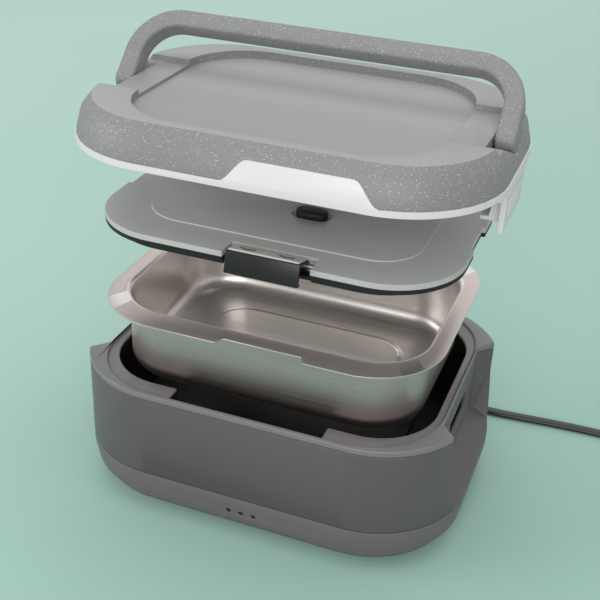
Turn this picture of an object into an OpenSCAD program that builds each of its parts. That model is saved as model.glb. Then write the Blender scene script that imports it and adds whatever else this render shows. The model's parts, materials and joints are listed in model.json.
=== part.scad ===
// Electric lunch box: a heated base, a food dish, a sealing inner lid and a carrying lid with
// a folding handle, drawn lifted apart one above the other. Origin under the middle of the base.

/* [Base] */
// Length of the base, along X
base_l = 244; // [230:1:270]
// Width of the base, along Y
base_w = 176; // [172:1:200]
// Corner radius of the base in plan
base_r = 60; // [52:1:66]
// Height of the rim above the table
rim_z = 88; // [84:1:96]
// Height of the seam between the housing and the tray
seam_z = 30; // [27:0.5:34]
// Wall of the plastic shells
wall = 2.5; // [2:0.1:3]
// Thickness of the rim ring
rim_h = 4; // [3.5:0.5:6]
// Depth of the ledge that the dish hangs on, below the rim
ledge_d = 2; // [1.6:0.1:2.4]

/* [Latch pockets] */
// Depth of the pocket in each end
pocket_d = 15; // [13:0.5:15.5]
// Width of the pocket at its back
pocket_w = 90; // [80:1:92]
// Extra width of the pocket at its mouth
pocket_flare = 36; // [24:1:40]
// Height where the pocket's floor starts to slope out
pocket_z = 43; // [38:1:50]
// How much wider the pocket is at the rim than at its foot, to each side
pocket_lean = 15; // [0:1:18]
// Width of the catch window
catch_w = 42; // [40:1:50]

/* [Heating] */
// Distance from the base's end to the cavity that takes the dish
well_end = 21; // [19:0.5:23]
// Distance from the base's side to the cavity
well_side = 16; // [14:0.5:18]
// Corner radius of the cavity
well_r = 38; // [30:1:44]
// Height of the underside of the cavity's floor
well_z = 32; // [31.5:0.5:34]
// Wall of the cavity's liner
well_t = 1.5; // [1:0.1:2]
// Length of the heating plate
plate_l = 150; // [120:1:160]
// Width of the heating plate
plate_w = 100; // [80:1:110]
// Radius of the heating tube's ring
element_r = 36; // [28:1:40]
// Thickness of the heating tube
element_d = 6; // [5:0.5:7]
// Length of the control board
board_l = 70; // [50:1:80]
// Width of the control board
board_w = 26; // [20:1:30]
// Thickness of the control board
board_t = 1.6; // [1:0.2:2]
// Height of the posts under the control board
post_h = 8; // [6:0.5:9]

/* [Dish] */
// Space between the dish's body and the cavity at the ends
dish_end = 8; // [6:0.5:11]
// Space between the dish's body and the cavity at the sides
dish_side = 5; // [4:0.5:8]
// Distance from the base's end to the dish's rim
flange_end = 19; // [18:0.5:21]
// Distance from the base's side to the dish's rim
flange_side = 4.5; // [4.5:0.5:8]
// Depth of the dish
dish_h = 51; // [40:1:51]
// Steel thickness
steel = 1; // [0.8:0.1:1.2]

/* [Inner lid] */
// Distance from the base's end to the inner lid's end
inner_end = 16; // [14:0.5:19]
// Distance from the base's side to the inner lid's side
inner_side = 12; // [11:0.5:14]
// Height of the inner lid's side
inner_h = 6; // [5:0.5:6.5]
// Height of the seal under it
seal_h = 2.4; // [2:0.1:3]
// Length of each clasp
clasp_l = 42; // [36:1:46]
// Where the clasps stand, along X
clasp_x = 8; // [0:1:12]

/* [Carrying lid] */
// Height of the light band
band_h = 3.5; // [3:0.5:5]
// Height of the lid's raised edge over the band's lower edge
cover_h = 23; // [22.5:0.5:26]
// Depth of the tray in the lid's top
tray_d = 5; // [4:0.5:5.5]
// Depth of the channel across the lid's top that the handle folds over
shelf_d = 3; // [2.5:0.1:3.5]
// Length of the front tab
tab_l = 68; // [50:1:80]
// Height of the front tab over the band
tab_h = 12; // [9:0.5:13]
// Where the front tab stands, along X
tab_x = 28; // [0:1:30]

/* [Handle] */
// Distance from the lid's end to the handle's legs
handle_end = 4; // [3:0.5:4.5]
// Reach of the handle from its pivot
handle_h = 47; // [44:0.5:50]
// Thickness of the handle
handle_t = 11; // [9:0.5:11]
// Width of the handle
handle_w = 12; // [10:0.5:12.5]
// Corner radius of the handle
handle_r = 30; // [24:1:36]
// How far the handle leans back as it stands
handle_lean = 45; // [0:5:60]

/* [Latches] */
// Width of each latch
latch_w = 50; // [46:1:54]
// Length of each latch below its pivot
latch_l = 18.1; // [17.8:0.1:19]
// Height of each latch's finger grip below its lip
grip_h = 3.6; // [2:0.2:5]
// Thickness of the latch plate
latch_t = 3; // [2.5:0.1:3.2]

/* [Lift] */
// How far the dish hangs above its seat
dish_up = 44.5; // [30:0.5:60]
// How far the inner lid hangs above the dish
inner_up = 44; // [30:0.5:60]
// How far the carrying lid hangs above its place on the inner lid
outer_up = 50; // [40:0.5:80]

/* [Fits] */
// Clearance between faces that only come near
gap = 0.3; // [0.2:0.05:0.4]
// Running clearance around a pin
run = 0.05; // [0.02:0.01:0.09]
// Radius of the latch and clasp pins
pin_r = 1.5; // [1.2:0.1:1.6]
// Radius of the handle pins
pivot_r = 2.5; // [2:0.1:2.6]

/* [Feet, lamps and screws] */
// Radius of a foot
foot_r = 7; // [5:0.5:8]
// Height of a foot below the tray
foot_h = 2; // [1.5:0.5:3]
// Spacing of the three lamps
lamp_gap = 8; // [6:0.5:10]
// Radius of a lamp
lamp_r = 1.5; // [1.2:0.1:2]
// Length of a lamp's round end
lamp_l = 12; // [10:1:14]
// Height of the lamps
lamp_z = 19; // [17:0.5:22]
// Radius of a screw's thread
screw_r = 1.5; // [1.2:0.1:1.8]

/* [Cord] */
// Width of the two-core cord
cord_w = 6.8; // [5:0.1:7]
// Thickness of the cord
cord_t = 3.4; // [2.5:0.1:3.5]
// Half width of the plug
plug_b = 8; // [7:0.5:10]

/* [Hidden] */
$fn = 64;

base_a = base_l / 2;
base_b = base_w / 2;
well_a = base_a - well_end;
well_b = base_b - well_side;
dish_a = well_a - dish_end;
dish_b = well_b - dish_side;
flange_a = base_a - flange_end;
flange_b = base_b - flange_side;
inner_a = base_a - inner_end;
inner_b = base_b - inner_side;
ledge_z = rim_z - ledge_d;
pocket_x = base_a - pocket_d;
catch_z = [rim_z - 30, rim_z - 14.6];
boss_x = base_a - 44;
boss_y = base_b - 38;
board_y = 26 - base_b;
board_z = foot_h + post_h;
post_x = board_l / 2 - 13;
post_y = board_y + board_w - 9;
shelf_t = 1.6;

// Heights of the lifted layers at rest: the dish's rim underside, the inner lid's underside and
// the carrying lid's lower edge
flange_z = ledge_z + gap + dish_up;
seal_z = flange_z + steel + inner_up + gap;
inner_z = seal_z + seal_h;
band_z = rim_z + gap + dish_up + inner_up + outer_up;

dish_r = dish_b - 33;
flange_r = 44.5;
collar_a = flange_a + 2.4;
collar_b = flange_b + 1.5;
bulge_l = 94;
bulge_b = flange_b - 1;
notch_b = flange_b - 5.5;
notch_l = clasp_l + 6;
hook_out = inner_b + 5;
clasp_pivot = [inner_b - 8, inner_z + inner_h - 1];
pivot_z = band_z + cover_h - 6.5;
tray_z = band_z + cover_h - tray_d;
shelf_z = band_z + cover_h - shelf_d;
latch_pivot = [base_a - pin_r - 1.9, band_z - pin_r - 2.1];
handle_a = base_a - handle_end;
handle_in = handle_a - handle_t;
lamp_x = 1;
lid_boss = [base_a - 52, base_b - 40];

// Rounded rectangle of half sizes a and b, corner radius r
module rr(a, b, r) {
    square([2 * (a - r), 2 * b], center = true);
    square([2 * a, 2 * (b - r)], center = true);
    for (x = [-1, 1], y = [-1, 1]) translate([x * (a - r), y * (b - r)]) circle(r);
}
module slab(a, b, r, z, h) translate([0, 0, z]) linear_extrude(h) rr(a, b, r);

// A block from low corner to high corner
module block(lo, hi) translate(lo) cube(hi - lo);

// A plan shape mirrored to face +X or -X, and +Y or -Y
module ends() for (s = [0, 1]) mirror([s, 0, 0]) children();
module sides() for (s = [0, 1]) mirror([0, s, 0]) children();

// Outline of the cavity, with the finger slots at the front and the rear, grown by g
module cavity(g) {
    rr(well_a + g, well_b + g, well_r + g);
    square([bulge_l + 2 * g, 2 * (bulge_b + g)], center = true);
}

// Body of a latch pocket at +X: its plan and its section, grown outwards by t
module pocket(t, top) {
    intersection() {
        linear_extrude(top) polygon([
            [pocket_x - t, -pocket_w / 2 - t], [base_a + 1, -(pocket_w + pocket_flare) / 2 - t],
            [base_a + 1, (pocket_w + pocket_flare) / 2 + t], [pocket_x - t, pocket_w / 2 + t]]);
        rotate([90, 0, 0]) translate([0, 0, -base_b]) linear_extrude(base_w) polygon([
            [pocket_x - t, top], [pocket_x - t, pocket_z - t * 0.4],
            [base_a, seam_z + 3.5 - 1.5 * t], [base_a + 2, seam_z + 3.5 - 1.5 * t], [base_a + 2, top]]);
        rotate([90, 0, 90]) linear_extrude(base_a + 3) polygon([
            [-pocket_w / 2 - t, seam_z], [pocket_w / 2 + t, seam_z],
            [pocket_w / 2 + pocket_lean + t, rim_z + 1], [-pocket_w / 2 - pocket_lean - t, rim_z + 1]]);
    }
}

module base_tray() color("#55524f") difference() {
    hull() {
        slab(base_a - 14, base_b - 14, base_r - 12, foot_h, 0.5);
        slab(base_a - 7, base_b - 7, base_r - 6, foot_h + 4, 0.5);
        slab(base_a - 2, base_b - 2, base_r - 2, foot_h + 12, 0.5);
        slab(base_a, base_b, base_r, seam_z - 5, 5);
    }
    difference() {
        hull() {
            slab(base_a - 16, base_b - 16, base_r - 14, foot_h + wall, 0.5);
            slab(base_a - 5, base_b - 5, base_r - 5, foot_h + 13, 0.5);
            slab(base_a - wall, base_b - wall, base_r - wall, seam_z - 5, 5.1);
        }
        for (x = [-1, 1], y = [-1, 1]) translate([x * boss_x, y * boss_y, 0]) cylinder(r = 4, h = seam_z);
        for (x = [-post_x, post_x]) translate([x, post_y, 0]) cylinder(r = 3, h = board_z);
    }
    for (x = [-1, 1], y = [-1, 1]) translate([x * boss_x, y * boss_y, -1]) {
        cylinder(r = screw_r + run, h = seam_z + 2);
        cylinder(r = 3.5, h = 8);
    }
    for (i = [-1:1]) translate([lamp_x + i * lamp_gap, 0, lamp_z]) rotate([90, 0, 0]) cylinder(r = lamp_r, h = base_b + 1);
    translate([inlet_x, base_b - 20, inlet_z]) rotate([-90, 0, 0]) cylinder(r = inlet_r, h = 30);
}
inlet_x = 10;
inlet_z = 18;
inlet_r = 6;

module foot(i) color("#222222") {
    x = (i % 2 == 0) ? 1 : -1;
    y = (i > 2) ? 1 : -1;
    translate([x * (base_a - 40), y * (base_b - 34), 0]) cylinder(r = foot_r, h = foot_h);
}

module base_housing() color("#615f60") {
    difference() {
        union() {
            difference() {
                slab(base_a, base_b, base_r, seam_z, rim_z - rim_h - seam_z);
                slab(base_a - wall, base_b - wall, base_r - wall, seam_z - 1, rim_z);
            }
            intersection() {
                slab(base_a, base_b, base_r, seam_z, rim_z - rim_h - seam_z);
                ends() pocket(wall, rim_z);
            }
            intersection() {
                slab(base_a, base_b, base_r, seam_z, shelf_t);
                ends() sides() block([boss_x - 5, boss_y - 5, seam_z], [base_a, boss_y + 5, seam_z + shelf_t]);
            }
        }
        for (x = [-1, 1], y = [-1, 1]) translate([x * boss_x, y * boss_y, seam_z - 1]) cylinder(r = screw_r, h = 5);
        ends() pocket(0, rim_z + 1);
        ends() block([pocket_x - wall - 1, -catch_w / 2, catch_z[0]], [pocket_x + 1, catch_w / 2, catch_z[1]]);
    }
}

// Steel catch lining the top of each window, which the latch's lip hooks under
module catch() color("silver")
    block([pocket_x - wall + 0.3, -catch_w / 2, catch_z[1] - 1.2], [pocket_x - 0.1, catch_w / 2, catch_z[1]]);

module rim_ring() color("#7d7f7d") difference() {
    slab(base_a, base_b, base_r, rim_z - rim_h, rim_h);
    translate([0, 0, rim_z - rim_h - 1]) linear_extrude(rim_h + 2) cavity(0);
    slab(collar_a, collar_b, flange_r + 2, ledge_z, ledge_d + 1);
    ends() pocket(0, rim_z + 1);
}

module well() color("#1d1c1b") difference() {
    union() {
        slab(well_a + well_t, well_b + well_t, well_r + well_t, well_z, rim_z - rim_h - well_z);
        translate([0, 0, bulge_z - well_t]) linear_extrude(rim_z - rim_h - bulge_z + well_t) cavity(well_t);
    }
    slab(well_a, well_b, well_r, well_z + well_t, rim_z);
    translate([0, 0, bulge_z]) linear_extrude(rim_z) cavity(0);
    translate([0, 0, well_z - 1]) linear_extrude(4) rr(plate_l / 2 - 6, plate_w / 2 - 6, 16);
}
bulge_z = rim_z - 14;

module heater_plate() color("#8f8f8f")
    slab(plate_l / 2, plate_w / 2, 20, well_z + well_t, 2);

// Ring of tube under the plate, with two legs that reach its terminals
element_z = well_z + well_t - element_d / 2;
module heater_tube() color("#9a9890") {
    translate([0, 0, element_z]) rotate_extrude() translate([element_r, 0]) circle(element_d / 2, $fn = 32);
}

module thermostat() color("#b9b4a6") {
    translate([0, 0, well_z + well_t - 8]) cylinder(r = 9, h = 8);
    for (x = [-1, 1]) block([x * 5 - 1.5, -0.5, well_z + well_t - 13], [x * 5 + 1.5, 0.5, well_z + well_t - 8]);
}

module thermal_fuse() color("#d8d2c0")
    translate([-8, 20, well_z + well_t - 2.5]) rotate([0, 90, 0]) cylinder(r = 2.5, h = 16);

// Strap that holds the tube against the plate: it runs under the tube and is spot-welded to the plate
module element_clamp() color("#a8a8a8") {
    strap = element_z - element_d / 2;
    strap_a = element_d * 4 / 3;
    strap_b = element_d * 5 / 6;
    for (s = [-1, 1]) {
        block([s * element_r - strap_a, -strap_b, strap - 1], [s * element_r + strap_a, strap_b, strap]);
        for (e = [-strap_a, strap_a - 1]) block([s * element_r + e, -strap_b, strap], [s * element_r + e + 1, strap_b, well_z + well_t]);
    }
}

module control_board() color("#2f6b3a") {
    block([-board_l / 2, board_y, board_z], [board_l / 2, board_y + board_w, board_z + board_t]);
    block([-board_l * 0.4, board_y + board_w * 0.15, board_z + board_t],
        [-board_l * 0.17, board_y + board_w * 0.77, board_z + board_t + board_w * 0.28]);
    block([board_l * 0.06, board_y + board_w * 0.3, board_z + board_t],
        [board_l * 0.37, board_y + board_w * 0.85, board_z + board_t + board_w * 0.17]);
}

// Lamp with the light pipe that brings it to the front wall
module lamp(i) color("#101010") {
    x = lamp_x + (i - 2) * lamp_gap;
    translate([x, lamp_l - base_b, lamp_z]) rotate([90, 0, 0]) cylinder(r = lamp_r - run, h = lamp_l - 1.8);
    block([x - 1, lamp_l - base_b, lamp_z - 1], [x + 1, board_y + 3, lamp_z + 1]);
    block([x - 1, board_y + 1, board_z + board_t], [x + 1, board_y + 3, lamp_z - 1]);
}

module base_screw(i) color("silver") {
    x = (i % 2 == 0) ? 1 : -1;
    y = (i > 2) ? 1 : -1;
    translate([x * boss_x, y * boss_y, 0]) {
        translate([0, 0, 7 - 1.8]) cylinder(r = 3, h = 1.8);
        translate([0, 0, 7]) cylinder(r = screw_r, h = seam_z - 7 + shelf_t);
    }
}

// Tapered relief that the cord leaves the rear wall through
module inlet_bush() color("#1a1a1a") translate([inlet_x, base_b - 3, inlet_z]) rotate([-90, 0, 0]) {
    cylinder(r = inlet_r, h = 3);
    translate([0, 0, 3]) cylinder(r = inlet_r + 1.5, h = 2);
    translate([0, 0, 5]) cylinder(r1 = inlet_r, r2 = inlet_r - 1.8, h = relief_y - base_b - 2);
}
relief_y = base_b + 22;

// Route of the cord from its bush, along the table and into the coil, then from the coil to the plug
cord_points = [[10, 110, 18], [10, 116, 17.6], [12.5, 124, 15.6], [17.5, 131, 12.2], [24.5, 136.5, 8.4],
    [32.5, 140, 5], [41, 141.5, 2.8], [50, 140.5, 1.9], [59, 137, 1.9], [67, 132, 1.9], [76, 125, 1.9],
    [85, 117.5, 1.9], [94, 111, 1.9], [104, 106.4, 1.9], [115, 104.8, 1.9], [130, 105.6, 1.9], [150, 107.3, 1.9],
    [170, 108.7, 1.9], [190, 109.4, 1.9], [212, 109.5, 1.9], [233, 109.5, 1.9]];
tail_points = [[263, 109.5, 9], [276, 109.5, 8.6], [287, 109.5, 8], [297.7, 109.5, 8]];
coil_at = [248, 147];
coil_in = 27;
coil_out = 41;
coil_h = 11;
plug_at = [298, 109.5, 8];

// Flat tube: rings of eight points, each square to the route in plan and as wide as the cord
function along(p, i) = let (a = p[max(i - 1, 0)], b = p[min(i + 1, len(p) - 1)], d = b - a) d / norm(d);
function across(p, i) = let (d = along(p, i), s = [d[1], -d[0], 0]) s / norm(s);
function ring(p, i) = let (s = across(p, i), u = cross(s, along(p, i)))
    [for (k = [0:7]) let (t = k * 45 + 22.5) p[i] + s * cord_w / 2 * cos(t) + u * cord_t / 2 * sin(t)];
module flat_tube(p) {
    n = len(p);
    polyhedron(
        [for (i = [0:n - 1]) each ring(p, i)],
        concat([[for (k = [0:7]) k]], [[for (k = [7:-1:0]) (n - 1) * 8 + k]],
            [for (i = [0:n - 2], k = [0:7]) [i * 8 + k, (i + 1) * 8 + k, (i + 1) * 8 + (k + 1) % 8, i * 8 + (k + 1) % 8]]));
}
module cord() color("#1b1b1b") flat_tube(cord_points);
module cord_tail() color("#1b1b1b") flat_tube(tail_points);
module cord_coil() color("#1b1b1b") translate([coil_at[0], coil_at[1], 0.1])
    rotate_extrude() translate([coil_in, 0]) square([coil_out - coil_in, coil_h]);
module plug_body() color("#1b1b1b") translate(plug_at) {
    block([0, -5, -6], [12, 5, 6]);
    block([12, -plug_b - 3, -7.9], [34, plug_b + 3, 8]);
}
module plug_pin(s) color("silver") translate(plug_at)
    block([34, s * 6.35 - 0.8, -3.2], [51, s * 6.35 + 0.8, 3.2]);

// Steel dish: a deep pan with a flat rim, notched where the clasps hook under it
module dish() color("#c8c4bc") difference() {
    union() {
        slab(dish_a, dish_b, dish_r, flange_z + steel - dish_h, dish_h);
        slab(flange_a, flange_b, flange_r, flange_z, steel);
    }
    slab(dish_a - steel, dish_b - steel, dish_r - steel, flange_z + 2 * steel - dish_h, dish_h);
    sides() block([clasp_x - notch_l / 2, notch_b, flange_z - 1], [clasp_x + notch_l / 2, flange_b + 1, flange_z + 2]);
}

module inner_lid() color("#9a9e9a") difference() {
    union() {
        difference() {
            slab(inner_a, inner_b, 44, inner_z, inner_h);
            slab(dish_a - 6, dish_b - 5, 30, inner_z - 1, inner_h - wall + 1);
        }
        slab(dish_a - 12, dish_b - 14, 26, inner_z + inner_h, 0.8);
    }
    sides() block([clasp_x - clasp_l / 2 - 4, inner_b - 14, inner_z - 1], [clasp_x + clasp_l / 2 + 4, inner_b + 1, inner_z + 20]);
    ends() block([inner_a - 2, -15, inner_z - 1], [inner_a + 1, 15, inner_z + inner_h + 1]);
    translate([vent_x, vent_y, inner_z]) {
        linear_extrude(30) stadium(3.4, 4);
        translate([0, 0, inner_h - 1]) linear_extrude(30) stadium(5, 7);
    }
}
vent_x = 11;
vent_y = -13;
module stadium(half, r) {
    square([2 * half, 2 * r], center = true);
    for (s = [-1, 1]) translate([s * half, 0]) circle(r);
}

// Ears that carry each clasp's pin are part of the lid beside its notch: the pin spans the notch
module clasp_pin() color("silver") translate([clasp_x, -clasp_pivot[0], clasp_pivot[1] - 1.5])
    rotate([0, 90, 0]) cylinder(r = pin_r, h = clasp_l + 8, center = true);

module clasp() color("#161616") translate([clasp_x - clasp_l / 2, -clasp_pivot[0], clasp_pivot[1] - 1.5])
    rotate([clasp_open, 0, 0]) rotate([90, 0, 90]) difference() {
        union() {
            cylinder(r = pin_r + 1.6, h = clasp_l);
            linear_extrude(clasp_l) polygon([[0, pin_r + 1.2], [-clasp_reach, pin_r + 1.2], [-clasp_reach, -clasp_drop],
                [-clasp_reach + 4, -clasp_drop], [-clasp_reach + 4, -clasp_drop + 2], [-clasp_reach + 2, -clasp_drop + 2],
                [-clasp_reach + 2, -1.6], [0, -pin_r - 1.2]]);
        }
        translate([0, 0, -1]) cylinder(r = pin_r + run, h = clasp_l + 2);
    }
clasp_open = -16;
clasp_reach = hook_out - clasp_pivot[0];
clasp_drop = clasp_pivot[1] - 1.5 - (flange_z + inner_up) + 2.4 + gap;
module clasp_cap() color("#b4b6b4") translate([0, -clasp_pivot[0], clasp_pivot[1] - 1.5])
    rotate([clasp_open, 0, 0])
        block([clasp_x - clasp_l / 2 + 1, -clasp_reach + 0.6, pin_r + 1.2], [clasp_x + clasp_l / 2 - 1, -1.5, pin_r + 2.4]);

module inner_seal() color("#141414") difference() {
    slab(inner_a - 6.5, inner_b - 2, 42, seal_z, seal_h);
    slab(dish_a - 2, dish_b - 1, 33, seal_z - 1, seal_h + 2);
    sides() block([clasp_x - clasp_l / 2 - 4, inner_b - 3.5, seal_z - 1], [clasp_x + clasp_l / 2 + 4, inner_b + 1, seal_z + 4]);
}

// Rubber vent plug: a stadium head with a grip ridge, and a stem through the lid
module vent_plug() color("#121212") translate([vent_x, vent_y, inner_z]) {
    translate([0, 0, 0.6]) linear_extrude(inner_h - 1) stadium(3.2, 3.7);
    translate([0, 0, inner_h - 1 + gap]) linear_extrude(4.4) stadium(4, 5.5);
}

// Carrying lid: the outer surface leans in from the band to the raised edge
module cover_shape(g) {
    $fn = 40;
    hull() {
        slab(base_a - 0.6 + g, base_b - 0.6 + g, base_r - 0.6 + g, band_z + band_h, 1);
        slab(base_a - 3.5 + g, base_b - 4 + g, base_r - 3.5 + g, band_z + cover_h - 8, 1);
        slab(base_a - 7 + g, base_b - 8 + g, base_r - 7 + g, band_z + cover_h - 3, 0.5);
        slab(base_a - 9 + g, base_b - 10.5 + g, base_r - 9 + g, band_z + cover_h - 0.5, 0.5);
    }
}

// Room for the handle's leg at +X, over its whole swing
fold = 65;
knuckle_r = handle_w / 2 + 0.3;
module leg_room() {
    clear = handle_w / 2 + 0.6;
    translate([handle_in - 0.5, 0, pivot_z]) rotate([90, 0, 90]) linear_extrude(base_a - handle_in + 2) {
        circle(knuckle_r + 0.6);
        for (s = [-1, 1]) rotate(-s * (fold + 1)) polygon([[-clear, 0], [clear, 0], [clear, 60], [-clear, 60]]);
        polygon([[0, 0], [60 * sin(fold), 60 * cos(fold)], [40, 60], [-40, 60], [-60 * sin(fold), 60 * cos(fold)]]);
    }
}

// Speckled top shell: a shallow tray, a channel for the folded handle, and at each end a slot with the pin's boss
module lid_cover() color("#8a8a8a") difference() {
    union() {
        difference() {
            cover_shape(0);
            slab(base_a - 34, base_b - 18, base_r - 20, tray_z, tray_d + 1);
            block([-base_a - 1, -32, shelf_z], [base_a + 1, 32, shelf_z + shelf_d + 1]);
            difference() {
                hull() {
                    slab(base_a - 0.6 - wall, base_b - 0.6 - wall, base_r - 3, band_z + band_h - 0.1, 1);
                    slab(base_a - 7.5, base_b - 8, base_r - 7, tray_z - wall - 0.5, 0.5);
                }
                for (x = [-1, 1], y = [-1, 1]) translate([x * lid_boss[0], y * lid_boss[1], band_z + liner_z + liner_t]) cylinder(r = 4, h = 20);
            }
        }
        intersection() {
            cover_shape(-0.5);
            ends() union() {
                block([handle_in - 8, -27, pivot_z - knuckle_r - 1], [handle_in - 0.2, 27, shelf_z - 0.5]);
                block([handle_in - 0.3, -27, pivot_z - knuckle_r - 2.2], [base_a, 27, shelf_z - 0.5]);
            }
        }
    }
    ends() leg_room();
    ends() translate([handle_in - 6, 0, pivot_z]) rotate([0, 90, 0]) cylinder(r = pivot_r, h = 7);
    for (x = [-1, 1], y = [-1, 1]) translate([x * lid_boss[0], y * lid_boss[1], band_z + liner_z + liner_t - 1]) cylinder(r = screw_r, h = 4);
}
liner_z = 12.6;
liner_t = 1.6;

module lid_band() color("#dcdad8") {
    difference() {
        union() {
            difference() {
                slab(base_a, base_b, base_r, band_z, band_h);
                slab(base_a - 3.5, base_b - 3.5, base_r - 3.5, band_z - 1, band_h + 2);
            }
            intersection() {
                slab(base_a, base_b, base_r, band_z, band_h);
                ends() block([base_a - 7, -latch_w / 2 - 6, band_z], [base_a, latch_w / 2 + 6, band_z + band_h]);
            }
            ends() for (s = [-1, 1]) translate([latch_pivot[0], s * (latch_w / 2 + 3), latch_pivot[1]]) {
                rotate([90, 0, 0]) cylinder(r = pin_r + 1.4, h = 4.5, center = true);
                block([-pin_r - 1.1, -2.25, 0], [pin_r + 1.1, 2.25, band_z - latch_pivot[1] + 0.5]);
            }
        }
        ends() translate([latch_pivot[0], 0, latch_pivot[1]]) rotate([90, 0, 0]) cylinder(r = pin_r, h = latch_w + 8, center = true);
    }
    intersection() {
        difference() { cover_shape(0.6); cover_shape(0); }
        translate([tab_x, 0, band_z + band_h]) rotate([90, 0, 0]) linear_extrude(base_b + 5) polygon(concat(
            [for (t = [0:0.125:1]) [-tab_l / 2 - 8 + 14 * t, tab_h * (3 * t * t - 2 * t * t * t)]],
            [for (t = [1:-0.125:0]) [tab_l / 2 + 8 - 14 * t, tab_h * (3 * t * t - 2 * t * t * t)]]));
    }
}

module lid_liner() color("#77797a") difference() {
    slab(base_a - 10, base_b - 10, base_r - 10, band_z + liner_z, liner_t);
    ends() block([handle_in - 8.5, -28, band_z + liner_z - 1], [base_a, 28, band_z + liner_z + 3]);
    for (x = [-1, 1], y = [-1, 1]) translate([x * lid_boss[0], y * lid_boss[1], band_z + liner_z - 1]) cylinder(r = screw_r + run, h = 4);
}

module lid_screw(i) color("silver") {
    x = (i % 2 == 0) ? 1 : -1;
    y = (i > 2) ? 1 : -1;
    translate([x * lid_boss[0], y * lid_boss[1], band_z + liner_z]) {
        translate([0, 0, -1.6]) cylinder(r = 3, h = 1.6);
        cylinder(r = screw_r, h = liner_t + 2.6);
    }
}

// Handle: an arch with an eye at the foot of each leg, drawn upright and leaned back about its pins
module handle() color("#8a8a8a") translate([0, 0, pivot_z]) rotate([-handle_lean, 0, 0]) difference() {
    union() {
        translate([0, handle_w / 2, 0]) rotate([90, 0, 0]) linear_extrude(handle_w) difference() {
            handle_outline(handle_a, handle_h, handle_r);
            handle_outline(handle_in, handle_h - handle_t, handle_r - handle_t);
            translate([-handle_a - 1, -handle_h]) square([2 * handle_a + 2, handle_h]);
        }
        ends() translate([handle_in, 0, 0]) rotate([0, 90, 0]) cylinder(r = knuckle_r, h = handle_t);
    }
    ends() translate([handle_in - 1, 0, 0]) rotate([0, 90, 0]) cylinder(r = pivot_r + run, h = handle_t - 1.5);
}
module handle_outline(a, h, r) {
    square([2 * (a - r), 2 * h], center = true);
    square([2 * a, 2 * (h - r)], center = true);
    for (x = [-1, 1], y = [-1, 1]) translate([x * (a - r), y * (h - r)]) circle(r);
}
module handle_pin() color("silver")
    translate([handle_in - 6, 0, pivot_z]) rotate([0, 90, 0]) cylinder(r = pivot_r, h = handle_t + 3);

// Latch at +X: a plate that hangs from its pin, with a lip on two ribs that reaches in to the catch
hook_l = latch_pivot[0] - pocket_x - gap - 0.1;
module latch() color("#dcdad8") translate([latch_pivot[0], 0, latch_pivot[1]]) difference() {
    union() {
        rotate([90, 0, 0]) cylinder(r = pin_r + 1.6, h = latch_w, center = true);
        block([-0.6, -latch_w / 2, -latch_l - grip_h], [-0.6 + latch_t, latch_w / 2, 0]);
        block([-hook_l, -catch_w / 2 + 1.5, -latch_l], [0, catch_w / 2 - 1.5, -latch_l + 2.4]);
        for (s = [-1, 1]) translate([0, s * (catch_w / 2 - 2.5) + 1, 0]) rotate([90, 0, 0]) linear_extrude(2)
            polygon([[0, -4], [-5, -4], [-7, -latch_l + 2], [0, -latch_l + 2]]);
        for (i = [0:2]) block([latch_t - 0.6, -latch_w / 2 + 8, -latch_l + 3 + i * 3], [latch_t, latch_w / 2 - 8, -latch_l + 4.2 + i * 3]);
    }
    rotate([90, 0, 0]) cylinder(r = pin_r + run, h = latch_w + 2, center = true);
}
module latch_pin() color("silver") translate([latch_pivot[0], 0, latch_pivot[1]])
    rotate([90, 0, 0]) cylinder(r = pin_r, h = latch_w + 8, center = true);

base_tray();
base_housing();
rim_ring();
well();
heater_plate();
heater_tube();
thermostat();
thermal_fuse();
element_clamp();
control_board();
inlet_bush();
for (i = [1:4]) foot(i);
for (i = [1:3]) lamp(i);
for (i = [1:4]) base_screw(i);
catch();  // catch_right
mirror([1, 0, 0]) catch();  // catch_left
cord();
cord_coil();
cord_tail();
plug_body();
plug_pin(1);  // plug_pin_1
plug_pin(-1);  // plug_pin_2
dish();
inner_lid();
inner_seal();
vent_plug();
clasp();  // clasp_front
mirror([0, 1, 0]) clasp();  // clasp_rear
clasp_cap();  // clasp_cap_front
mirror([0, 1, 0]) clasp_cap();  // clasp_cap_rear
clasp_pin();  // clasp_pin_front
mirror([0, 1, 0]) clasp_pin();  // clasp_pin_rear
lid_cover();
lid_band();
lid_liner();
handle();
handle_pin();  // handle_pin_right
mirror([1, 0, 0]) handle_pin();  // handle_pin_left
latch();  // latch_right
mirror([1, 0, 0]) latch();  // latch_left
latch_pin();  // latch_pin_right
mirror([1, 0, 0]) latch_pin();  // latch_pin_left
for (i = [1:4]) lid_screw(i);
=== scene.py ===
# Electric lunch box with its layers lifted apart
import json
import math
import bmesh
import bpy
from mathutils import Matrix, Vector


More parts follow.
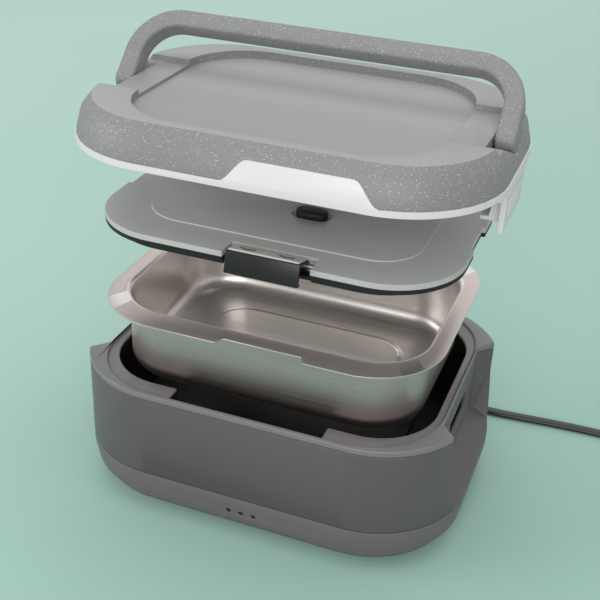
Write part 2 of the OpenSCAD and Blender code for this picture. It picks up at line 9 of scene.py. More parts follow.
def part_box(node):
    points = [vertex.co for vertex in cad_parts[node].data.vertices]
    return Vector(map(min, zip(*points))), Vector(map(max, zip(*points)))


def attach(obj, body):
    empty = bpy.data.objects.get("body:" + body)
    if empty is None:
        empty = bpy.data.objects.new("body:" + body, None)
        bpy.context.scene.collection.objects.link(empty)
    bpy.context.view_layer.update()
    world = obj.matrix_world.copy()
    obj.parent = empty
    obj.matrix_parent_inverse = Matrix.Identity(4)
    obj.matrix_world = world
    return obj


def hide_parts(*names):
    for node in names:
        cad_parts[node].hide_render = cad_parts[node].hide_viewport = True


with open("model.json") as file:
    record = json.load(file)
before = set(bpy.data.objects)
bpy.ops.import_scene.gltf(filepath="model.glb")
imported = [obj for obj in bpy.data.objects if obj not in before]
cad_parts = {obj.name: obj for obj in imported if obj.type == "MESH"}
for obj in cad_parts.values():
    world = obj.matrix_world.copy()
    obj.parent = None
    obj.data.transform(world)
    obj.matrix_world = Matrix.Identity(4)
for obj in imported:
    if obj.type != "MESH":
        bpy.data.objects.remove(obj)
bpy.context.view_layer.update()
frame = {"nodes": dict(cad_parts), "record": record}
scene = bpy.context.scene
mm = 0.001


# camera
cameraSetup = {
    "azimuth": 19.56,
    "elevation": 29.24,
    "roll": 2.64,
    "distance": 0.648,
    "focalPixels": 1053.0,
    "imagePixels": 600.0,
    "sideShift": 0.0013,
    "targetHeight": 0.1202,
    "sensorWidth": 36,
    "reach": 20,
}


def placeCamera(setup):
    azimuth = math.radians(setup["azimuth"])
    elevation = math.radians(setup["elevation"])
    roll = math.radians(setup["roll"])
    level = math.cos(elevation)
    back = Vector((math.sin(azimuth) * level, -math.cos(azimuth) * level, math.sin(elevation)))
    right = Vector((math.cos(azimuth), math.sin(azimuth), 0))
    up = back.cross(right)
    rolledRight = right * math.cos(roll) + up * math.sin(roll)
    rolledUp = up * math.cos(roll) - right * math.sin(roll)
    target = right * setup["sideShift"] + Vector((0, 0, setup["targetHeight"]))
    data = bpy.data.cameras.new("mainCamera")
    data.sensor_width = setup["sensorWidth"]
    data.lens = setup["focalPixels"] / setup["imagePixels"] * data.sensor_width
    data.clip_end = setup["reach"]
    camera = bpy.data.objects.new("mainCamera", data)
    scene.collection.objects.link(camera)
    turned = Matrix((rolledRight, rolledUp, back)).transposed().to_4x4()
    turned.translation = target + back * setup["distance"]
    camera.matrix_world = turned
    scene.camera = camera


placeCamera(cameraSetup)
print("camera placed")


# small helpers
def deselectAll():
    if bpy.context.object and bpy.context.object.mode != "OBJECT":
        bpy.ops.object.mode_set(mode="OBJECT")
    bpy.ops.object.select_all(action="DESELECT")


def makeActive(piece):
    deselectAll()
    piece.select_set(True)
    bpy.context.view_layer.objects.active = piece


def settle(piece):
    # the place goes into the mesh, so patterns read true positions
    makeActive(piece)
    bpy.ops.object.transform_apply(location=True, rotation=True, scale=True)


def applyModifier(piece, kind, **settings):
    makeActive(piece)
    modifier = piece.modifiers.new(kind.lower(), kind)
    for name, value in settings.items():
        setattr(modifier, name, value)
    bpy.ops.object.modifier_apply(modifier=modifier.name)


def smoothByAngle(piece, degrees=35):
    makeActive(piece)
    bpy.ops.object.shade_smooth_by_angle(angle=math.radians(degrees))


def nodeObject(name):
    return frame["nodes"][name]


# materials
# places of the sockets that share a name on the colour mix and the map range node
mixA, mixB, mixResult = 6, 7, 2
fromLow, fromHigh, toLow, toHigh = 1, 2, 3, 4


def hexColor(text):
    channels = [int(text[i:i + 2], 16) / 255 for i in (1, 3, 5)]
    return tuple(c / 12.92 if c <= 0.04045 else ((c + 0.055) / 1.055) ** 2.4 for c in channels) + (1.0,)


def addNode(tree, kind, links=None, values=None, **settings):
    node = tree.nodes.new(kind)
    for name, value in settings.items():
        setattr(node, name, value)
    for socket, value in (values or {}).items():
        node.inputs[socket].default_value = value
    for socket, source in (links or {}).items():
        tree.links.new(source, node.inputs[socket])
    return node.outputs[0] if len(node.outputs) == 1 else node.outputs


def startMaterial(name, surface):
    material = bpy.data.materials.new(name)
    material.use_nodes = True
    tree = material.node_tree
    shader = tree.nodes["Principled BSDF"]
    for socket, value in surface.items():
        shader.inputs[socket].default_value = value
    return material, tree, shader.inputs, addNode(tree, "ShaderNodeTexCoord")["Object"]


def mouldedPlastic(name, low, high, roughness, grain=0.9, depth=0.05, cloudSize=90):
    # injection-moulded ABS or PP: even colour with slow drift, and a fine eroded grain that softens the highlight
    material, tree, shader, place = startMaterial(name, {"IOR": 1.5})
    cloud = addNode(tree, "ShaderNodeTexNoise", {"Vector": place}, {"Scale": 1000 / cloudSize, "Detail": 2.0})["Fac"]
    color = addNode(tree, "ShaderNodeMix", {"Factor": cloud}, {mixA: hexColor(low), mixB: hexColor(high)},
                    data_type="RGBA")[mixResult]
    tree.links.new(color, shader["Base Color"])
    texture = addNode(tree, "ShaderNodeTexNoise", {"Vector": place}, {"Scale": 1000 / grain, "Detail": 1.0})["Fac"]
    rough = addNode(tree, "ShaderNodeMapRange", {"Value": cloud},
                    {toLow: roughness - 0.04, toHigh: roughness + 0.04})["Result"]
    tree.links.new(rough, shader["Roughness"])
    bump = addNode(tree, "ShaderNodeBump", {"Height": texture}, {"Strength": 0.3, "Distance": depth * mm})
    tree.links.new(bump, shader["Normal"])
    return material


def speckledPlastic(name, low, high, top, fleck, roughness=0.5, share=0.5, spacing=1.15):
    # ABS filled with pale flecks some tenths of a millimetre across and about a millimetre apart; they sink out of
    # sight in the polished faces that look up, and those faces are painted a paler grey as painted light from above
    material, tree, shader, place = startMaterial(name, {"IOR": 1.5, "Roughness": roughness})
    cloud = addNode(tree, "ShaderNodeTexNoise", {"Vector": place}, {"Scale": 12.0, "Detail": 2.0})["Fac"]
    body = addNode(tree, "ShaderNodeMix", {"Factor": cloud}, {mixA: hexColor(low), mixB: hexColor(high)},
                   data_type="RGBA")[mixResult]
    facing = addNode(tree, "ShaderNodeNewGeometry")["True Normal"]
    rise = addNode(tree, "ShaderNodeSeparateXYZ", {"Vector": facing})["Z"]
    # faces that look up take the paler top colour: painted light from above
    level = addNode(tree, "ShaderNodeMapRange", {"Value": rise}, {fromLow: 0.93, fromHigh: 0.99})["Result"]
    body = addNode(tree, "ShaderNodeMix", {"Factor": level, mixA: body}, {mixB: hexColor(top)},
                   data_type="RGBA")[mixResult]
    cells = addNode(tree, "ShaderNodeTexVoronoi", {"Vector": place}, {"Scale": 1000 / spacing})
    near = addNode(tree, "ShaderNodeMapRange", {"Value": cells["Distance"]},
                   {fromLow: 0.16, fromHigh: 0.3, toLow: 1.0, toHigh: 0.0})["Result"]
    chance = addNode(tree, "ShaderNodeSeparateColor", {"Color": cells["Color"]})["Red"]
    kept = addNode(tree, "ShaderNodeMapRange", {"Value": chance}, {fromLow: 1 - share, fromHigh: 1.0})["Result"]
    spot = addNode(tree, "ShaderNodeMath", {0: near, 1: kept}, operation="MULTIPLY")
    upright = addNode(tree, "ShaderNodeMath", {1: level}, {0: 1.0}, operation="SUBTRACT")
    spot = addNode(tree, "ShaderNodeMath", {0: spot, 1: upright}, operation="MULTIPLY")
    color = addNode(tree, "ShaderNodeMix", {"Factor": spot, mixA: body}, {mixB: hexColor(fleck)},
                    data_type="RGBA")[mixResult]
    tree.links.new(color, shader["Base Color"])
    texture = addNode(tree, "ShaderNodeTexNoise", {"Vector": place}, {"Scale": 1100.0, "Detail": 1.0})["Fac"]
    bump = addNode(tree, "ShaderNodeBump", {"Height": texture}, {"Strength": 0.3, "Distance": 0.06 * mm})
    tree.links.new(bump, shader["Normal"])
    return material


def sheetMetal(name, low, high, roughness, lineLength, lineWidth, depth=0.03):
    # brushed sheet: lines some tenths of a millimetre wide that run one way and spread the reflections across them
    material, tree, shader, place = startMaterial(name, {"Metallic": 1.0})
    scale = (1000 / lineLength, 1000 / lineWidth, 1000 / lineWidth)
    lines = addNode(tree, "ShaderNodeMapping", {"Vector": place}, {"Scale": scale})
    noise = addNode(tree, "ShaderNodeTexNoise", {"Vector": lines},
                    {"Scale": 1.0, "Detail": 3.0, "Roughness": 0.6})["Fac"]
    color = addNode(tree, "ShaderNodeMix", {"Factor": noise}, {mixA: hexColor(low), mixB: hexColor(high)},
                    data_type="RGBA")[mixResult]
    tree.links.new(color, shader["Base Color"])
    rough = addNode(tree, "ShaderNodeMapRange", {"Value": noise},
                    {toLow: roughness - 0.08, toHigh: roughness + 0.08})["Result"]
    tree.links.new(rough, shader["Roughness"])
    bump = addNode(tree, "ShaderNodeBump", {"Height": noise}, {"Strength": 0.15, "Distance": depth * mm})
    tree.links.new(bump, shader["Normal"])
    return material


finishes = {
    # ABS shells: dull charcoal greys, each a little paler than the one below it, with a broad soft highlight
    "base_plastic": mouldedPlastic("mouldedAbsCharcoal", "#545052", "#5b5759", 0.42),
    "tray_plastic": mouldedPlastic("mouldedAbsTray", "#615c5e", "#686365", 0.42),
    "rim_plastic": mouldedPlastic("mouldedAbsRim", "#727172", "#797879", 0.38),
    # heat-proof PBT: black without a shine, so the cavity looks deep
    "black_liner": mouldedPlastic("mouldedPbtBlack", "#131211", "#1b1a19", 0.5),
    # cast aluminium painted near-black as painted shade for the floor of the well, which lies in shadow; it looks like
    # dull black paint
    "cast_plate": mouldedPlastic("castAluminiumPaintedShade", "#181716", "#211f1e", 0.45, 0.7),
    # stainless steel: a pale satin rim, an outside drawn with long lines; the brushed inside is further down
    "rim_steel": sheetMetal("satinStainless", "#cbc0bb", "#ded2cd", 0.46, 30, 0.6, 0.01),
    # the outside's darker, warmer colour is painted shade on the outer wall, with a warm tint that cancels the table's
    # green reflection
    "outer_steel": sheetMetal("drawnStainlessPaintedShade", "#baa8a6", "#d8c6c3", 0.35, 60, 0.8, 0.02),
    # small plated parts: short lines and a cool grey shine
    "steel": sheetMetal("zincPlatedSteel", "#a9a8a5", "#c4c3c0", 0.35, 4, 0.6),
    # glazed ceramic and the lacquered board: smooth, with small bright highlights
    "ceramic_white": mouldedPlastic("glazedCeramic", "#d6d1c4", "#e0dbcf", 0.25),
    "board_green": mouldedPlastic("lacqueredBoard", "#245c33", "#2d6b3d", 0.3),
    # silicone swallows the light, vinyl shows a narrow streak along the lead
    "rubber_black": mouldedPlastic("mouldedSilicone", "#070707", "#0d0d0d", 0.6),
    "cord_black": mouldedPlastic("extrudedVinyl", "#1f1c1b", "#272423", 0.32),
    # brushed stainless: bright and streaked, with reflections drawn out across the lines
    "dish_steel": sheetMetal("brushedStainless", "#cac4c0", "#efe9e5", 0.32, 70, 0.8, 0.02),
    # PP of the inner lid: pale and slightly waxy, painted paler still as painted light that makes up for the carrying
    # lid's shade; its clasps are black ABS under a satin cap
    "sage_plastic": mouldedPlastic("mouldedPpSage", "#adaeac", "#b5b6b4", 0.45),
    "clasp_black": mouldedPlastic("mouldedAbsBlack", "#0a0909", "#100f0f", 0.35),
    "clasp_satin": mouldedPlastic("mouldedAbsSatin", "#bab4b0", "#c2bdb9", 0.35),
    # carrying lid: grey ABS with pale flecks, a light smooth band and handle, a dull inner shell
    # its third grey is painted light: the lid's upward faces are painted paler
    "lid_plastic": speckledPlastic("speckledAbs", "#7b7b7c", "#858586", "#9a9a99", "#e6e6e4", spacing=0.9),
    "light_plastic": mouldedPlastic("mouldedAbsLight", "#cfcfcf", "#d8d8d8", 0.32),
    "liner_plastic": mouldedPlastic("mouldedPpLiner", "#76787a", "#7f8183", 0.5),
    # smoked polycarbonate: a dark glossy window over each lamp
    "lamp_black": mouldedPlastic("smokedPolycarbonate", "#0c0c0c", "#121212", 0.12),
}


def dress(piece, slot):
    piece.data.materials.clear()
    piece.data.materials.append(finishes[slot])


for entry in frame["record"]["subparts"]:
    dress(nodeObject(entry["node"]), entry["material_slot"])
print("materials made")


# cord
cord = {
    "width": 6.8,
    "strand": 3.4,
    "route": [
        (10, 110, 18), (10, 116, 17.6), (12.5, 124, 15.6), (17.5, 131, 12.2), (24.5, 136.5, 8.4),
        (32.5, 140, 5), (41, 141.5, 2.8), (50, 140.5, 1.9), (59, 137, 1.9), (67, 132, 1.9), (76, 125, 1.9),
        (85, 117.5, 1.9), (94, 111, 1.9), (104, 106.4, 1.9), (115, 104.8, 1.9), (130, 105.6, 1.9),
        (150, 107.3, 1.9), (170, 108.7, 1.9), (190, 109.4, 1.9), (212, 109.5, 1.9), (233, 109.5, 1.9)],
    "tail": [(263, 109.5, 9), (276, 109.5, 8.6), (287, 109.5, 8), (297.7, 109.5, 8)],
    "coilMiddle": (248, 147),
    "coilRadii": [37.5, 30.5, 30.5, 37.5, 37.5],
    "coilHeights": [1.9, 1.9, 5.4, 5.4, 8.9],
    "stepsPerTurn": 28,
    # share of a turn in which one layer leads over to the next
    "leadOver": 0.3,
    # distance of a core's middle from the lead's, in core radii
    "coreSpacing": 0.98,
}
cordStrap = {
    "fromMiddle": 34,
    "height": 6.05,
    "size": (10, 15.2, 11.0),
    "edgeRadius": 2.5,
    "thickness": 0.5,
}


def coilPoints(values):
    points = []
    steps = values["stepsPerTurn"]
    radii = values["coilRadii"]
    heights = values["coilHeights"]
    lead = values["leadOver"]
    for turn in range(len(radii)):
        following = min(turn + 1, len(radii) - 1)
        for step in range(steps):
            part = step / steps
            ease = max(0.0, (part - (1 - lead)) / lead)
            ease = ease * ease * (3 - 2 * ease)
            radius = radii[turn] + (radii[following] - radii[turn]) * ease
            height = heights[turn] + (heights[following] - heights[turn]) * ease
            angle = math.radians(-90 + 360 * part)
            points.append((values["coilMiddle"][0] + radius * math.cos(angle),
                           values["coilMiddle"][1] + radius * math.sin(angle), height))
    points.append((values["coilMiddle"][0], values["coilMiddle"][1] - radii[-1], heights[-1]))
    return points


def roundedLine(points, pieces=4):
    # a smooth line through every point
    line = [Vector(p) for p in points]
    out = []
    for i in range(len(line) - 1):
        before = line[max(i - 1, 0)]
        after = line[min(i + 2, len(line) - 1)]
        for step in range(pieces):
            t = step / pieces
            a, b = line[i], line[i + 1]
            out.append(0.5 * ((2 * a) + (b - before) * t + (2 * before - 5 * a + 4 * b - after) * t * t
                              + (3 * a - before - 3 * b + after) * t * t * t))
    out.append(line[-1])
    return out


def strandProfile(values, count=20):
    # two round cores side by side, moulded together
    half = values["strand"] / 2
    outline = []
    for i in range(count):
        angle = 2 * math.pi * i / count
        side = 1 if math.cos(angle) >= 0 else -1
        outline.append((side * half * values["coreSpacing"] + half * math.cos(angle), half * math.sin(angle)))
    return outline


def buildCord(values):
    path = roundedLine(values["route"]) + coilPoints(values) + roundedLine(values["tail"])
    outline = strandProfile(values)
    mesh = bmesh.new()
    rings = []
    for i, point in enumerate(path):
        ahead = Vector(path[min(i + 1, len(path) - 1)]) - Vector(path[max(i - 1, 0)])
        ahead.normalize()
        side = Vector((ahead.y, -ahead.x, 0)).normalized()
        up = side.cross(ahead)
        ring = [mesh.verts.new((Vector(point) + side * x + up * y) * mm) for x, y in outline]
        rings.append(ring)
    for first, second in zip(rings, rings[1:]):
        for k in range(len(outline)):
            following = (k + 1) % len(outline)
            mesh.faces.new((first[k], first[following], second[following], second[k]))
    mesh.faces.new(list(reversed(rings[0])))
    mesh.faces.new(rings[-1])
    bmesh.ops.recalc_face_normals(mesh, faces=mesh.faces)
    data = bpy.data.meshes.new("powerCord")
    mesh.to_mesh(data)
    mesh.free()
    piece = bpy.data.objects.new("powerCord", data)
    scene.collection.objects.link(piece)
    for face in data.polygons:
        face.use_smooth = True
    dress(piece, "cord_black")
    return piece, [tuple(c * mm for c in p) for p in path]


def buildTie(values, coilMiddle):
    # hook-and-loop strap round the far side of the coil
    middle = Vector((coilMiddle[0], coilMiddle[1] + values["fromMiddle"], values["height"])) * mm
    bpy.ops.mesh.primitive_cube_add(size=1, location=middle)
    piece = bpy.context.object
    piece.name = "cordTie"
    piece.scale = [side * mm for side in values["size"]]
    settle(piece)
    bpy.ops.object.mode_set(mode="EDIT")
    bpy.ops.mesh.select_all(action="DESELECT")
    bpy.ops.mesh.select_mode(type="FACE")
    bpy.ops.object.mode_set(mode="OBJECT")
    for face in piece.data.polygons:
        face.select = abs(face.normal.x) > 0.9
    bpy.ops.object.mode_set(mode="EDIT")
    bpy.ops.mesh.delete(type="FACE")
    bpy.ops.object.mode_set(mode="OBJECT")
    applyModifier(piece, "BEVEL", width=values["edgeRadius"] * mm, segments=4)
    applyModifier(piece, "SOLIDIFY", thickness=values["thickness"] * mm, offset=1)
    smoothByAngle(piece)
    dress(piece, "rubber_black")
    return piece


powerCord, cordPath = buildCord(cord)
cordTie = buildTie(cordStrap, cord["coilMiddle"])
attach(powerCord, "base")
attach(cordTie, "base")
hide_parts("cord", "cord_coil", "cord_tail")


# softened copies of the moulded shells
softEdges = {
    # piece: (edge radius in mm, body)
    "base_tray": (0.4, "base"),
    "base_housing": (0.7, "base"),
    "rim_ring": (0.9, "base"),
    "well": (0.5, "base"),
    "inlet_bush": (0.6, "base"),
    "plug_body": (1.6, "base"),
    "inner_lid": (0.5, "inner_lid"),
    "inner_seal": (0.5, "inner_lid"),
    "vent_plug": (0.9, "vent"),
    "clasp_front": (0.5, "clasp_front"),
    "clasp_rear": (0.5, "clasp_rear"),
    "clasp_cap_front": (0.4, "clasp_front"),
    "clasp_cap_rear": (0.4, "clasp_rear"),
    "lid_cover": (1.5, "carrying_lid"),
    "lid_band": (0.4, "carrying_lid"),
    "lid_liner": (0.4, "carrying_lid"),
    "handle": (1.8, "handle"),
    "latch_right": (0.5, "latch_right"),
    "latch_left": (0.5, "latch_left"),
}
softening = {
    "weld": 0.002,
    # degrees: below the first faces count as flat, above the second an edge is rounded, above the third it stays crisp
    "flatAngle": 0.6,
    "sharpAngle": 40,
    "crispAngle": 32,
}
# flat rings that need a seam
ringPieces = {"rim_ring"}
# shells whose edges keep their whole radius where short edges meet
wideBevels = {"base_tray", "base_housing", "rim_ring", "handle"}
# the seal's rubber folds up round the lid's edge to here
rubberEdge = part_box("inner_lid")[0][2] + 2.8 * mm
slotOf = {entry["node"]: entry["material_slot"] for entry in frame["record"]["subparts"]}


def softened(name, radius, body):
    source = nodeObject(name)
    piece = source.copy()
    piece.data = source.data.copy()
    piece.name = name + "Soft"
    scene.collection.objects.link(piece)
    makeActive(piece)
    bpy.ops.object.mode_set(mode="EDIT")
    bpy.ops.mesh.select_all(action="SELECT")
    bpy.ops.mesh.remove_doubles(threshold=softening["weld"] * mm)
    if name in ringPieces:
        # seams across the middle keep a flat ring from closing into one face
        for across in ((1, 0, 0), (0, 1, 0)):
            bpy.ops.mesh.select_all(action="SELECT")
            bpy.ops.mesh.bisect(plane_co=(0, 0, 0), plane_no=across)
            bpy.ops.mesh.mark_seam()
    bpy.ops.mesh.select_all(action="SELECT")
    bpy.ops.mesh.dissolve_limited(angle_limit=math.radians(softening["flatAngle"]), delimit={"SEAM"})
    if name == "inner_lid":
        bpy.ops.mesh.select_all(action="SELECT")
        bpy.ops.mesh.bisect(plane_co=(0, 0, rubberEdge), plane_no=(0, 0, 1))
    bpy.ops.object.mode_set(mode="OBJECT")
    applyModifier(piece, "BEVEL", width=radius * mm, segments=3, limit_method="ANGLE",
                  angle_limit=math.radians(softening["sharpAngle"]), use_clamp_overlap=name not in wideBevels)
    applyModifier(piece, "WEIGHTED_NORMAL", keep_sharp=True)
    smoothByAngle(piece, softening["crispAngle"])
    dress(piece, slotOf[name])
    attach(piece, body)
    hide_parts(name)
    return piece


softPieces = {}
for name, (radius, body) in softEdges.items():
    softPieces[name] = softened(name, radius, body)
    print("softened", name, len(softPieces[name].data.polygons))


softPieces["inner_lid"].data.materials.append(finishes["rubber_black"])
for face in softPieces["inner_lid"].data.polygons:
    face.material_index = 1 if face.center.z < rubberEdge else 0

# a hairline gap parts the housing from the tray below it: the housing's lowest millimetre is lifted
partingLine = {
    "height": 30,
    "eased": 1.0,
    "gap": 0.8,
}
for vertex in softPieces["base_housing"].data.vertices:
    rise = vertex.co.z / mm - partingLine["height"]
    if rise < partingLine["eased"]:
        share = 1 - rise / partingLine["eased"]
        vertex.co.z += share * partingLine["gap"] * mm


# pressed dish
dishForm = {
    "sheet": 1.0,
    "floorHeight": 81.8,
    "rimHeight": 131.8,
    # rings of the upper face from the middle outwards: half length, half width, corner radius, height over the floor
    "panelRings": [
        (60, 36, 18, 1.3), (61.2, 37.2, 19.2, 1.2), (62.6, 38.6, 20.6, 0.7), (64, 40, 22, 0.1), (65.5, 41.5, 23.5, 0)],
    "floorRing": (80, 54, 21),
    "floorRound": 12,
    "floorSteps": 9,
    "wallRound": 2.6,
    "wallSteps": 5,
    "rimRing": (102.9, 83.4, 44.4),
    "notchMiddle": 8,
    "notchHalf": 24,
    "notchDepth": 5.4,
    "notchSteps": [-2.6, -1.6, -0.6, 0.4, 1.4],
    "cornerSteps": 14,
    "edgeRadius": 0.25,
    # the satin finish starts outside these half sides and above this depth below the rim
    "satinFrom": (93.5, 67.5),
    "satinDepth": 1.2,
}


def moveRing(piece, old, new, height):
    # the selected points slide out from one rounded rectangle to the next
    for vertex in piece.data.vertices:
        if vertex.select:
            sideX = math.copysign(1, vertex.co.x)
            sideY = math.copysign(1, vertex.co.y)
            outX = (vertex.co.x / mm - sideX * (old[0] - old[2])) / old[2]
            outY = (vertex.co.y / mm - sideY * (old[1] - old[2])) / old[2]
            x = sideX * (new[0] - new[2]) + outX * new[2]
            y = sideY * (new[1] - new[2]) + outY * new[2]
            vertex.co = Vector((x, y, height)) * mm


def dishRings(form):
    low = form["floorHeight"]
    rings = [(a, b, r, low + rise) for a, b, r, rise in form["panelRings"]]
    a, b, r = form["floorRing"]
    rings.append((a, b, r, low))
    for step in range(1, form["floorSteps"] + 1):
        angle = math.radians(90 * step / form["floorSteps"])
        out = form["floorRound"] * math.sin(angle)
        rings.append((a + out, b + out, r + out, low + form["floorRound"] * (1 - math.cos(angle))))
    a, b, r = (value + form["floorRound"] for value in form["floorRing"])
    top = form["rimHeight"]
    for step in range(form["wallSteps"] + 1):
        angle = math.radians(90 * step / form["wallSteps"])
        out = form["wallRound"] * (1 - math.cos(angle))
        rings.append((a + out, b + out, r + out, top - form["wallRound"] * (1 - math.sin(angle))))
    rings.append((*form["rimRing"], top))
    return rings


def buildDish(form):
    rings = dishRings(form)
    a, b, r, height = rings[0]
    bpy.ops.mesh.primitive_plane_add(size=2, location=(0, 0, height * mm))
    piece = bpy.context.object
    piece.name = "pressedDish"
    piece.scale = (a * mm, b * mm, 1)
    settle(piece)
    bpy.ops.object.mode_set(mode="EDIT")
    bpy.ops.mesh.select_mode(type="VERT")
    bpy.ops.mesh.select_all(action="SELECT")
    bpy.ops.mesh.bevel(offset=r * mm, segments=form["cornerSteps"], affect="VERTICES")
    bpy.ops.mesh.select_mode(type="EDGE")
    bpy.ops.mesh.select_all(action="SELECT")
    for old, new in zip(rings, rings[1:]):
        if old is rings[0]:
            bpy.ops.mesh.extrude_edges_move()
        else:
            bpy.ops.mesh.extrude_region_move()
        bpy.ops.object.mode_set(mode="OBJECT")
        moveRing(piece, old, new, new[3])
        bpy.ops.object.mode_set(mode="EDIT")
    # cuts across the rim carry the steps of the notches
    middle, half = form["notchMiddle"], form["notchHalf"]
    cuts = [middle + side * (half - step) for side in (-1, 1) for step in form["notchSteps"]]
    for x in cuts:
        bpy.ops.mesh.select_all(action="SELECT")
        bpy.ops.mesh.bisect(plane_co=(x * mm, 0, 0), plane_no=(1, 0, 0))
    bpy.ops.object.mode_set(mode="OBJECT")
    first, last = form["notchSteps"][0], form["notchSteps"][-1]
    for vertex in piece.data.vertices:
        x, y, z = (value / mm for value in vertex.co)
        if z > form["rimHeight"] - 0.01 and abs(y) > form["rimRing"][1] - 0.5:
            inward = half - abs(x - middle)
            part = min(1.0, max(0.0, (inward - first) / (last - first)))
            depth = form["notchDepth"] * part * part * (3 - 2 * part)
            vertex.co.y = math.copysign(form["rimRing"][1] - depth, y) * mm
    makeActive(piece)
    bpy.ops.object.mode_set(mode="EDIT")
    bpy.ops.mesh.select_all(action="SELECT")
    bpy.ops.mesh.normals_make_consistent(inside=False)
    bpy.ops.object.mode_set(mode="OBJECT")
    applyModifier(piece, "SOLIDIFY", thickness=form["sheet"] * mm, offset=-1)
    applyModifier(piece, "BEVEL", width=form["edgeRadius"] * mm, segments=2, limit_method="ANGLE",
                  angle_limit=math.radians(60))
    smoothByAngle(piece, 40)
    dress(piece, "dish_steel")
    # the rim is blasted to a pale satin; the outside is duller than the brushed inside and painted darker as painted
    # shade
    piece.data.materials.append(finishes["rim_steel"])
    piece.data.materials.append(finishes["outer_steel"])
    for face in piece.data.polygons:
        x, y, z = face.center / mm
        beyond = max(abs(x) - form["satinFrom"][0], abs(y) - form["satinFrom"][1])
        rim = z > form["rimHeight"] - form["satinDepth"] and beyond > 0
        wall = max(abs(x) - form["floorRing"][0], abs(y) - form["floorRing"][1]) > 0
        # outside faces take the darker steel: painted shade
        outside = face.normal.z < -0.2 or wall and face.normal.x * x + face.normal.y * y > 1
        face.material_index = 1 if rim else 2 if outside else 0
    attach(piece, "dish")
    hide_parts("dish")
    return piece


pressedDish = buildDish(dishForm)
print("dish pressed", len(pressedDish.data.polygons))


# chevrons that show where to press the clasps
chevrons = {
    "middle": 8,
    "spread": 11,
    "pivot": (-68, 182),
    "lean": -16,
    "barLength": 5.0,
    "barWidth": 1.0,
    "barHeight": 0.3,
    "bend": 28,
    "across": -7.2,
    "top": 4.05,
    # shift of each arm from the point, in arm lengths
    "armShift": 0.4,
    "edgeRadius": 0.1,
}


def markClasp(values, name, side, body):
    bars = []
    for place in (-1, 1):
        for arm in (-1, 1):
            bpy.ops.mesh.primitive_cube_add(size=1, location=(0, 0, 0))
            bar = bpy.context.object
            bar.scale = (values["barLength"] * mm, values["barWidth"] * mm, values["barHeight"] * mm)
            bar.rotation_euler = (0, 0, math.radians(arm * values["bend"]))
            along = values["middle"] + place * values["spread"] + arm * values["barLength"] * values["armShift"]
            bar.location = (along * mm, (values["pivot"][0] + values["across"]) * mm,
                            (values["pivot"][1] + values["top"]) * mm)
            settle(bar)
            applyModifier(bar, "BEVEL", width=values["edgeRadius"] * mm, segments=2)
            bars.append(bar)
    deselectAll()
    for bar in bars:
        bar.select_set(True)
    piece = bars[0]
    bpy.context.view_layer.objects.active = piece
    bpy.ops.object.join()
    piece.name = name
    turn = Matrix.Translation(Vector((0, values["pivot"][0], values["pivot"][1])) * mm)
    piece.data.transform(turn @ Matrix.Rotation(math.radians(values["lean"]), 4, "X") @ turn.inverted())
    if side > 0:
        piece.data.transform(Matrix.Scale(-1, 4, (0, 1, 0)))
        piece.data.flip_normals()
    dress(piece, "rubber_black")
    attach(piece, body)
    return piece


markClasp(chevrons, "claspMarksFront", -1, "clasp_front")
markClasp(chevrons, "claspMarksRear", 1, "clasp_rear")
print("clasps marked")


# stage and light
stage = {
    "floorSize": 14,
    # painted light: the table runs from a darker near mint to a paler far mint
    "near": "#97bcb0",
    "far": "#bcd9cd",
    "bounce": "#b9bbba",
    # the table lies this far under the feet, in metres
    "drop": 0.0002,
    # how much of the painted fall-off of light runs to the left, and where along the table it starts and ends
    "leanLeft": -0.9,
    "paleFrom": -0.4,
    "paleTo": 1.5,
}


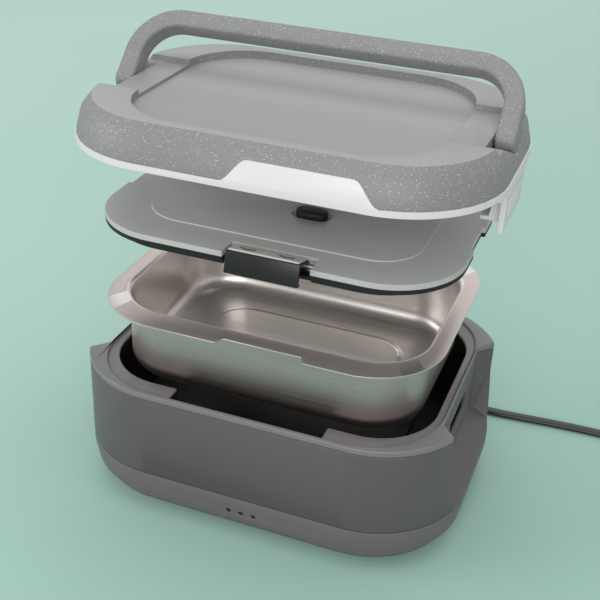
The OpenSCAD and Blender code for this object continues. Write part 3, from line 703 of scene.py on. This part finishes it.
def buildStage(values):
    bpy.ops.mesh.primitive_plane_add(size=values["floorSize"], location=(0, 0, -values["drop"]))
    floor = bpy.context.object
    floor.name = "tableTop"
    material, tree, shader, place = startMaterial("mattPaper", {"Roughness": 0.95})
    axes = addNode(tree, "ShaderNodeSeparateXYZ", {"Vector": place})
    # painted light: the paper is painted paler towards the back and the left, a fall-off of light across the table
    lean = addNode(tree, "ShaderNodeMath", {0: axes["X"]}, {1: values["leanLeft"]}, operation="MULTIPLY")
    depth = addNode(tree, "ShaderNodeMath", {0: axes["Y"], 1: lean}, operation="ADD")
    share = addNode(tree, "ShaderNodeMapRange", {"Value": depth},
                    {fromLow: values["paleFrom"], fromHigh: values["paleTo"]})["Result"]
    paper = addNode(tree, "ShaderNodeMix", {"Factor": share},
                    {mixA: hexColor(values["near"]), mixB: hexColor(values["far"])}, data_type="RGBA")[mixResult]
    ray = addNode(tree, "ShaderNodeLightPath")
    seen = addNode(tree, "ShaderNodeMath", {0: ray["Is Camera Ray"], 1: ray["Is Glossy Ray"]}, operation="MAXIMUM")
    seen = addNode(tree, "ShaderNodeMath", {0: seen, 1: ray["Is Transmission Ray"]}, operation="MAXIMUM")
    color = addNode(tree, "ShaderNodeMix", {"Factor": seen, mixB: paper}, {mixA: hexColor(values["bounce"])},
                    data_type="RGBA")[mixResult]
    tree.links.new(color, shader["Base Color"])
    floor.data.materials.append(material)


def addSoftbox(name, place, aim, size, power):
    data = bpy.data.lights.new(name, "AREA")
    data.shape = "RECTANGLE"
    data.size, data.size_y = size
    data.energy = power
    light = bpy.data.objects.new(name, data)
    scene.collection.objects.link(light)
    light.location = place
    light.rotation_euler = (Vector(aim) - Vector(place)).to_track_quat("-Z", "Y").to_euler()


buildStage(stage)
softboxes = {
    # name: (place, aim, size, power), in metres and watts
    "overheadBox": ((0.0, 0.1, 1.6), (0, 0, 0.15), (1.4, 1.0), 6),
    "rearBox": ((-0.3, 1.9, 1.15), (0, 0, 0.15), (2.6, 0.9), 5),
    "leftBox": ((-1.4, -0.7, 0.6), (0, 0, 0.1), (0.9, 0.9), 7),
    "frontBox": ((0.35, -1.35, 0.8), (0, 0, 0.16), (1.2, 0.6), 11),
}
for name, (place, aim, size, power) in softboxes.items():
    addSoftbox(name, place, aim, size, power)
studioAir = {"color": "#e2e4e3", "strength": 0.8}
world = bpy.data.worlds.new("studioAir")
world.use_nodes = True
background = world.node_tree.nodes["Background"].inputs
background["Color"].default_value = hexColor(studioAir["color"])
background["Strength"].default_value = studioAir["strength"]
scene.world = world
scene.view_settings.view_transform = "Standard"
print("stage lit")
